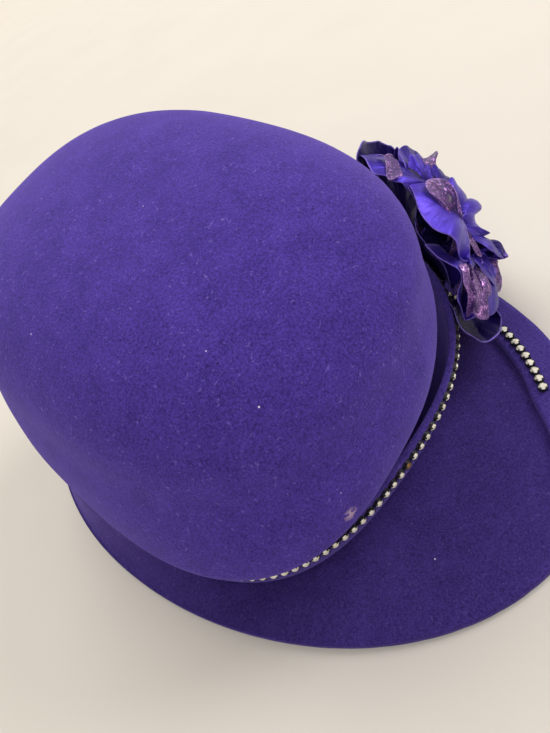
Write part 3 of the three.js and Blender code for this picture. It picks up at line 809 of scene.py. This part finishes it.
def model_knot():
    bpy.ops.mesh.primitive_uv_sphere_add(segments=48, ring_count=24, radius=1)
    knot = bpy.context.object
    knot.name = "satin_knot"
    turn_to_axis = Matrix((flower_along, flower_up, flower_out)).transposed()
    placed = []
    for x, y, z in read_points(knot.data):
        bearing = math.atan2(y, x)
        level = (z + 1) / 2
        fold = 1 + sum(deep * math.sin(count * bearing + wind * level) for count, wind, deep in KNOT_FOLDS)
        flat = Vector((x, y, 0)) * KNOT_RADIUS * fold
        depth = z * KNOT_RADIUS * (KNOT_FLATTEN - KNOT_DIMPLE * max(0, z) * (1 - math.hypot(x, y)))
        placed.append(flower_seat + flower_out * KNOT_HEIGHT + turn_to_axis @ (flat + UP * depth))
    write_points(knot.data, [list(p) for p in placed])
    subdivide(knot, 1)
    select_only(knot)
    bpy.ops.object.shade_smooth()
    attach(knot, "root")
    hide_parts("flower_knot")
    return knot


satin_knot = model_knot()
print("knot", len(satin_knot.data.polygons), "faces")


# %% [markdown]
# ## Felt finish
# Felt has no weave. Close up it is a mat of short fibres: a cloudy mottle, a fine grain, dark pits and
# a few light hairs that lie on top. One node group makes those masks from the object's own
# coordinates, so that the crown, the brim and the band share one grain, and each material picks its
# colours. The soft light rim of felt is sheen, which stays on the shader.

# %% Helpers for materials
def new_material(name):
    material = bpy.data.materials.new(name)
    material.use_nodes = True
    material.node_tree.nodes.clear()
    return material


def feed(tree, socket, value):
    if isinstance(value, bpy.types.NodeSocket):
        tree.links.new(value, socket)
    else:
        socket.default_value = value


def add(tree, kind, inputs=None, **settings):
    made = tree.nodes.new(kind)
    for name, value in settings.items():
        setattr(made, name, value)
    for name, value in (inputs or {}).items():
        feed(tree, made.inputs[name], value)
    return made


def finish_material(material, inputs):
    shader = add(material.node_tree, "ShaderNodeBsdfPrincipled", inputs)
    add(material.node_tree, "ShaderNodeOutputMaterial", {"Surface": shader.outputs[0]})
    return material


def object_place(tree):
    return add(tree, "ShaderNodeTexCoord").outputs["Object"]


def noise(tree, place, scale, detail, roughness=0.5):
    return add(tree, "ShaderNodeTexNoise", {
        "Vector": place, "Scale": scale, "Detail": detail, "Roughness": roughness})


def remap(tree, value, low, high, out_low=0.0, out_high=1.0):
    return add(tree, "ShaderNodeMapRange", {
        "Value": value, "From Min": low, "From Max": high, "To Min": out_low, "To Max": out_high,
    }).outputs["Result"]


def blend_colour(tree, share, first, second):
    mix = tree.nodes.new("ShaderNodeMix")
    mix.data_type = "RGBA"
    for name, value in (("Factor", share), ("A", first), ("B", second)):
        feed(tree, next(s for s in mix.inputs if s.name == name and s.enabled), value)
    return next(s for s in mix.outputs if s.enabled)


def combine(tree, operation, first, second):
    made = add(tree, "ShaderNodeMath", operation=operation)
    feed(tree, made.inputs[0], first)
    feed(tree, made.inputs[1], second)
    return made.outputs[0]


def times(tree, first, second):
    return combine(tree, "MULTIPLY", first, second)


def plus(tree, first, second):
    return combine(tree, "ADD", first, second)


def as_linear(red, green, blue):
    def one(value):
        share = value / 255
        return share / 12.92 if share <= 0.04045 else ((share + 0.055) / 1.055) ** 2.4
    return (one(red), one(green), one(blue), 1)


# %% The felt grain group
MOTTLE_SCALE = 70.0
GRAIN_SCALE = 1150.0
PIT_SCALE = 760.0
HAIR_SCALE = 260.0
HAIR_PATCHES = 520.0
HAIR_WARP = 300.0
HAIR_BEND = 0.006
PIT_HEIGHT = -0.3
HAIR_HEIGHT = 0.3


def felt_group():
    tree = bpy.data.node_groups.new("felt_grain", "ShaderNodeTree")
    place = object_place(tree)
    cloud = noise(tree, place, MOTTLE_SCALE, 4.0, 0.7)
    grain = noise(tree, place, GRAIN_SCALE, 3.0, 0.8)
    pits = noise(tree, place, PIT_SCALE, 2.0, 0.7)
    warp = noise(tree, place, HAIR_WARP, 2.0)
    bent = add(tree, "ShaderNodeVectorMath", operation="MULTIPLY_ADD")
    for socket, value in zip(bent.inputs, (warp.outputs["Color"], (HAIR_BEND,) * 3, place)):
        feed(tree, socket, value)
    hair_cells = add(tree, "ShaderNodeTexVoronoi", {"Vector": bent.outputs[0], "Scale": HAIR_SCALE},
                     feature="DISTANCE_TO_EDGE")
    patches = noise(tree, place, HAIR_PATCHES, 1.0)
    line = remap(tree, hair_cells.outputs["Distance"], 0.05, 0.0)
    hairs = times(tree, line, remap(tree, patches.outputs["Fac"], 0.6, 0.7))
    pit = remap(tree, pits.outputs["Fac"], 0.42, 0.3)
    height = plus(tree, grain.outputs["Fac"], times(tree, pit, PIT_HEIGHT))
    height = plus(tree, height, times(tree, hairs, HAIR_HEIGHT))
    masks = {
        "Mottle": remap(tree, cloud.outputs["Fac"], 0.3, 0.7),
        "Grain": remap(tree, grain.outputs["Fac"], 0.34, 0.66),
        "Pits": pit, "Hairs": hairs, "Height": height,
    }
    for label in masks:
        tree.interface.new_socket(name=label, in_out="OUTPUT", socket_type="NodeSocketFloat")
    add(tree, "NodeGroupOutput", masks)
    return tree


felt_grain = felt_group()


# %% [markdown]
# ## Felt colours and marks
# The crown shows a dry patch of old glue just over the band and a few bits of white lint. Each mark is
# a spot round a point of the hat, and the point is found by casting a line from the camera through
# the mark's place in the picture on to the felt. The brim's felt gets darker colours than the crown's,
# which paint the shade that lies over the brim.

# %% Build the felt materials
GLUE_PIXEL = (350.5, 514)
GLUE_RADIUS = 2.4 * MM
LINT_SPOTS = [((259, 407), 0.33), ((206, 351), 0.22), ((31, 334), 0.25), ((341, 493), 0.2), ((143, 206), 0.2)]
BRIM_LINT_PIXEL = (435, 559)
LINT_WHITE = as_linear(235, 230, 245)
LINT_SHARE = 0.9
GLUE_GREY = as_linear(186, 158, 178)
GLUE_SHARE = 0.85
GRAIN_SHARE = 0.72
PIT_SHARE = 0.35
PIT_SHADE = 0.4


def on_surface(piece, pixel):
    tree = BVHTree.FromObject(piece, bpy.context.evaluated_depsgraph_get())
    start, direction = photo_ray(*pixel)
    place, _, _, _ = tree.ray_cast(start, direction)
    return place


def spot_mask(tree, place_socket, centre, radius, soft):
    away = add(tree, "ShaderNodeVectorMath", operation="DISTANCE")
    tree.links.new(place_socket, away.inputs[0])
    away.inputs[1].default_value = tuple(centre)
    return remap(tree, away.outputs["Value"], radius + soft, radius - soft)


def felt_material(name, dark, light, hair, hair_share, sheen, lint=(), glue=None):
    material = new_material(name)
    tree = material.node_tree
    grain = add(tree, "ShaderNodeGroup")
    grain.node_tree = felt_grain
    share = plus(tree, times(tree, grain.outputs["Mottle"], 1 - GRAIN_SHARE),
                 times(tree, grain.outputs["Grain"], GRAIN_SHARE))
    colour = blend_colour(tree, share, dark, light)
    deep = tuple(c * PIT_SHADE for c in dark[:3]) + (1,)
    colour = blend_colour(tree, times(tree, grain.outputs["Pits"], PIT_SHARE), colour, deep)
    colour = blend_colour(tree, times(tree, grain.outputs["Hairs"], hair_share), colour, hair)
    place = object_place(tree)
    for centre, radius in lint:
        speck = spot_mask(tree, place, centre, radius, 0.1 * MM)
        colour = blend_colour(tree, times(tree, speck, LINT_SHARE), colour, LINT_WHITE)
    if glue is not None:
        flakes = noise(tree, place, 620.0, 3.0)
        dry = times(tree, spot_mask(tree, place, glue, GLUE_RADIUS, GLUE_RADIUS * 0.5),
                    remap(tree, flakes.outputs["Fac"], 0.44, 0.5))
        colour = blend_colour(tree, times(tree, dry, GLUE_SHARE), colour, GLUE_GREY)
    bump = add(tree, "ShaderNodeBump", {
        "Height": grain.outputs["Height"], "Strength": 0.5, "Distance": 0.0008})
    rough = remap(tree, grain.outputs["Grain"], 0.0, 1.0, 0.86, 1.0)
    return finish_material(material, {
        "Base Color": colour, "Roughness": rough, "Normal": bump.outputs["Normal"],
        "Sheen Weight": sheen, "Sheen Roughness": 0.38, "Sheen Tint": hair,
        "Specular IOR Level": 0.12,
    })


crown_lint = [(on_surface(felt_crown, pixel), radius * MM) for pixel, radius in LINT_SPOTS]
crown_lint = [spot for spot in crown_lint if spot[0] is not None]
brim_lint = [(on_surface(felt_brim, BRIM_LINT_PIXEL), 0.3 * MM)]
crown_felt = felt_material(
    "crown_felt", as_linear(40, 24, 94), as_linear(90, 67, 171), as_linear(160, 140, 232), 0.35, 0.5,
    crown_lint, on_surface(felt_crown, GLUE_PIXEL))
# The brim is painted darker than the crown: painted shade over the brim.
brim_felt_painted_shade = felt_material(
    "brim_felt_painted_shade", as_linear(36, 23, 80), as_linear(76, 57, 136), as_linear(150, 130, 220), 0.2, 0.6, brim_lint)
strap_felt = felt_material(
    "strap_felt", as_linear(42, 28, 94), as_linear(86, 68, 154), as_linear(150, 130, 220), 0.2, 0.6)
felt_crown.data.materials.append(crown_felt)
felt_brim.data.materials.append(brim_felt_painted_shade)
felt_band.data.materials.append(strap_felt)
felt_strap.data.materials.append(strap_felt)
base_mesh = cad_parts["flower_base"].data
base_mesh.materials.clear()
base_mesh.materials.append(strap_felt)
print("felt marks on the crown:", len(crown_lint) + 1)

# %% [markdown]
# ## Satin finish
# Satin is smooth threads that float over each other: a soft streak of light where it turns, and a
# share of that light takes the colour of the cloth. The deep blue-violet of the folds is painted shade:
# each petal is coloured from a shaded deep blue-violet to a lit violet by its painted light value, and
# darker towards its root. Flame leaves the rim shrunken, and the very rim is painted paler, partly
# singed cloth and partly a painted highlight where the curled edge catches the light. Every petal
# carries two values for the material: rim grows towards its edge, and the painted light, set by how
# open its face lies, says how lit it is painted.

# %% Build the satin material
def satin_material():
    material = new_material("violet_satin")
    tree = material.node_tree
    place = object_place(tree)
    own_map = add(tree, "ShaderNodeTexCoord").outputs["UV"]
    rim = add(tree, "ShaderNodeAttribute", attribute_name="rim").outputs["Fac"]
    cloud = noise(tree, place, 60.0, 3.0)
    fine = noise(tree, place, 2600.0, 2.0)
    singe = noise(tree, place, 450.0, 3.0)
    stretch = add(tree, "ShaderNodeMapping", {"Vector": own_map, "Scale": (9.0, 1.6, 1.0)})
    creases = add(tree, "ShaderNodeTexNoise", {
        "Vector": stretch.outputs["Vector"], "Scale": 1.0, "Detail": 3.0, "Distortion": 0.4})
    # The painted light value paints each petal between its deep-shade colour and its lit colour.
    painted_light = add(tree, "ShaderNodeAttribute", attribute_name="painted_light").outputs["Fac"]
    painted_lit_satin = blend_colour(tree, remap(tree, cloud.outputs["Fac"], 0.35, 0.65),
                             as_linear(60, 37, 156), as_linear(90, 66, 200))
    # The satin is also painted darker towards the petal's root, where shade falls deep in the flower.
    shown = times(tree, painted_light, remap(tree, rim, 0.0, 0.7, 0.3, 1.0))
    colour = blend_colour(tree, shown, as_linear(15, 7, 62), painted_lit_satin)
    # The very rim is painted paler: partly singed cloth, partly a painted highlight of the curled edge.
    edge = remap(tree, plus(tree, rim, times(tree, singe.outputs["Fac"], 0.06)), 1.0, 1.03)
    colour = blend_colour(tree, times(tree, edge, 0.75), colour, as_linear(136, 112, 206))
    height = plus(tree, times(tree, fine.outputs["Fac"], 0.12), times(tree, creases.outputs["Fac"], 1.6))
    bump = add(tree, "ShaderNodeBump", {"Height": height, "Strength": 0.5, "Distance": 0.0016})
    rough = remap(tree, edge, 0.0, 1.0, 0.33, 0.55)
    return finish_material(material, {
        "Base Color": colour, "Roughness": rough, "Normal": bump.outputs["Normal"],
        "Metallic": 0.42, "Specular IOR Level": 0.1,
    })


violet_satin = satin_material()
# The knot has no painted light value, so it takes the painted deep-shade colour all over.
for piece in (satin_1, satin_2, satin_3, satin_knot):
    piece.data.materials.append(violet_satin)


# %% [markdown]
# ## Glitter organza
# Organza is sheer, so the satin shows through it, and it carries grains of glitter in clusters. Each
# grain is a cell of a Voronoi pattern with its own brightness and its own small tilt, which is what
# makes real glitter twinkle. Between the clusters the cloth is thin and half clear.

# %% Build the glitter material
def glitter_material():
    material = new_material("glitter_organza")
    tree = material.node_tree
    place = object_place(tree)
    rim = add(tree, "ShaderNodeAttribute", attribute_name="rim").outputs["Fac"]
    cells = add(tree, "ShaderNodeTexVoronoi", {"Vector": place, "Scale": 1500.0})
    split = add(tree, "ShaderNodeSeparateColor")
    tree.links.new(cells.outputs["Color"], split.inputs[0])
    clusters = noise(tree, place, 130.0, 4.0, 0.65)
    cluster = remap(tree, clusters.outputs["Fac"], 0.42, 0.6)
    spark = times(tree, remap(tree, split.outputs["Red"], 0.68, 0.95), remap(tree, cluster, 0, 1, 0.35, 1.0))
    cloth = blend_colour(tree, remap(tree, clusters.outputs["Fac"], 0.3, 0.7),
                         as_linear(54, 30, 92), as_linear(100, 60, 132))
    colour = blend_colour(tree, spark, cloth, as_linear(224, 160, 240))
    # The organza's rim is painted lighter, a painted highlight along its edge; it is also less sheer there.
    edge = remap(tree, rim, 0.92, 0.99)
    colour = blend_colour(tree, times(tree, edge, 0.25), colour, as_linear(170, 130, 200))
    alpha = remap(tree, plus(tree, cluster, edge), 0.0, 1.0, 0.6, 0.97)
    bump = add(tree, "ShaderNodeBump", {
        "Height": split.outputs["Green"], "Strength": 0.8, "Distance": 0.0006})
    return finish_material(material, {
        "Base Color": colour, "Roughness": remap(tree, spark, 0, 1, 0.55, 0.22),
        "Metallic": times(tree, spark, 0.6), "Alpha": alpha, "Normal": bump.outputs["Normal"],
        "Sheen Weight": 0.2, "Sheen Roughness": 0.4, "Sheen Tint": as_linear(220, 170, 240),
    })


glitter_organza = glitter_material()
for piece in (glitter_1, glitter_2):
    piece.data.materials.append(glitter_organza)


# %% [markdown]
# ## Stones and cups
# The foiled stones get a cream-white base colour, which paints the bright reflections of their facets
# and foil, under a clear, shiny coat. Dust and wear dull some of them. The cups are black plastic with
# a slight gloss.

# %% Build the stone materials
def stone_material(name, dark, light):
    material = new_material(name)
    tree = material.node_tree
    place = object_place(tree)
    worn = noise(tree, place, 330.0, 3.0)
    share = remap(tree, worn.outputs["Fac"], 0.35, 0.65)
    # The base colour is painted light to stand for the reflections of facets and foil; the noise dulls some
    # stones, as dust and wear do.
    colour = blend_colour(tree, share, dark, light)
    return finish_material(material, {
        "Base Color": colour, "Roughness": remap(tree, worn.outputs["Fac"], 0.3, 0.7, 0.06, 0.22),
        "Coat Weight": 0.35, "Coat Roughness": 0.03, "IOR": 1.6,
    })


def cup_material():
    material = new_material("black_cup")
    tree = material.node_tree
    place = object_place(tree)
    scuff = noise(tree, place, 900.0, 3.0)
    colour = blend_colour(tree, remap(tree, scuff.outputs["Fac"], 0.4, 0.75),
                          as_linear(10, 9, 14), as_linear(38, 34, 46))
    bump = add(tree, "ShaderNodeBump", {"Height": scuff.outputs["Fac"], "Strength": 0.2, "Distance": 0.0002})
    return finish_material(material, {
        "Base Color": colour, "Roughness": remap(tree, scuff.outputs["Fac"], 0.3, 0.7, 0.32, 0.55),
        "Normal": bump.outputs["Normal"],
    })


black_cup = cup_material()
# Cream-white for the clear stones: painted reflection.
clear_stone_painted_reflection = stone_material("clear_stone_painted_reflection", as_linear(230, 222, 200), as_linear(255, 250, 232))
brown_stone = stone_material("brown_stone", as_linear(120, 84, 40), as_linear(190, 148, 86))
for piece in (band_stones, strap_stones):
    for material in (black_cup, clear_stone_painted_reflection, brown_stone):
        piece.data.materials.append(material)

# %% [markdown]
# ## Floor and light
# The hat stands on a plain pale floor that curves up into a pale wall on every side, as a studio sweep
# does: the lower part of a sphere, pressed flat in the middle and open above. A large soft light hangs
# high behind the hat's left, as a window would, two weaker ones fill from the front and the side, and
# the pale sweep and the sky lift the shadows.

# %% Make the studio
SWEEP_RADIUS = 5.0
SWEEP_SINK = 0.25
SWEEP_TURN = 0.8
SWEEP_TOP = 2.2
LIGHTS = [
    ("window_light", (1.1, 3.1, 3.9), 3.6, 172, (1.0, 0.97, 0.95)),
    ("side_fill", (2.3, -0.6, 1.6), 1.6, 42, (0.97, 0.96, 1.0)),
    ("front_fill", (-1.2, -1.4, 1.4), 1.6, 15, (0.95, 0.96, 1.0)),
]


def make_sweep():
    bpy.ops.mesh.primitive_uv_sphere_add(segments=96, ring_count=96, radius=SWEEP_RADIUS)
    sweep = bpy.context.object
    sweep.name = "studio_floor"
    points = read_points(sweep.data)
    floor_depth = SWEEP_RADIUS * SWEEP_SINK
    rise = points[:, 2] + floor_depth
    points[:, 2] = np.where(rise > 0, rise ** 2 / (rise + SWEEP_TURN), 0) - 0.02 * MM
    write_points(sweep.data, points)
    select_only(sweep)
    bpy.ops.object.mode_set(mode="EDIT")
    bpy.ops.mesh.select_all(action="SELECT")
    bpy.ops.mesh.flip_normals()
    bpy.ops.mesh.select_mode(type="FACE")
    edit_faces(sweep, lambda face: face.calc_center_median().z > SWEEP_TOP)
    bpy.ops.mesh.delete(type="FACE")
    bpy.ops.object.mode_set(mode="OBJECT")
    bpy.ops.object.shade_smooth()
    material = new_material("pale_floor")
    tree = material.node_tree
    place = object_place(tree)
    cloud = noise(tree, place, 9.0, 4.0)
    colour = blend_colour(tree, cloud.outputs["Fac"], as_linear(210, 204, 193), as_linear(217, 211, 200))
    sweep.data.materials.append(finish_material(material, {
        "Base Color": colour, "Roughness": 0.95, "Specular IOR Level": 0.05}))


def area_light(name, place, size, power, colour):
    data = bpy.data.lights.new(name, "AREA")
    data.shape = "DISK"
    data.size = size
    data.energy = power
    data.color = colour
    light = place_new(name, data)
    direction = Vector((0, 0, 0.05)) - Vector(place)
    light.matrix_world = Matrix.Translation(place) @ direction.to_track_quat("-Z", "Y").to_matrix().to_4x4()


make_sweep()
for row in LIGHTS:
    area_light(*row)
world = bpy.data.worlds.new("studio_world")
world.use_nodes = True
world.node_tree.nodes["Background"].inputs["Color"].default_value = (0.93, 0.91, 0.88, 1)
world.node_tree.nodes["Background"].inputs["Strength"].default_value = 0.5
bpy.context.scene.world = world
bpy.context.scene.view_settings.view_transform = "Standard"
bpy.context.view_layer.update()
print("lights:", len(LIGHTS))
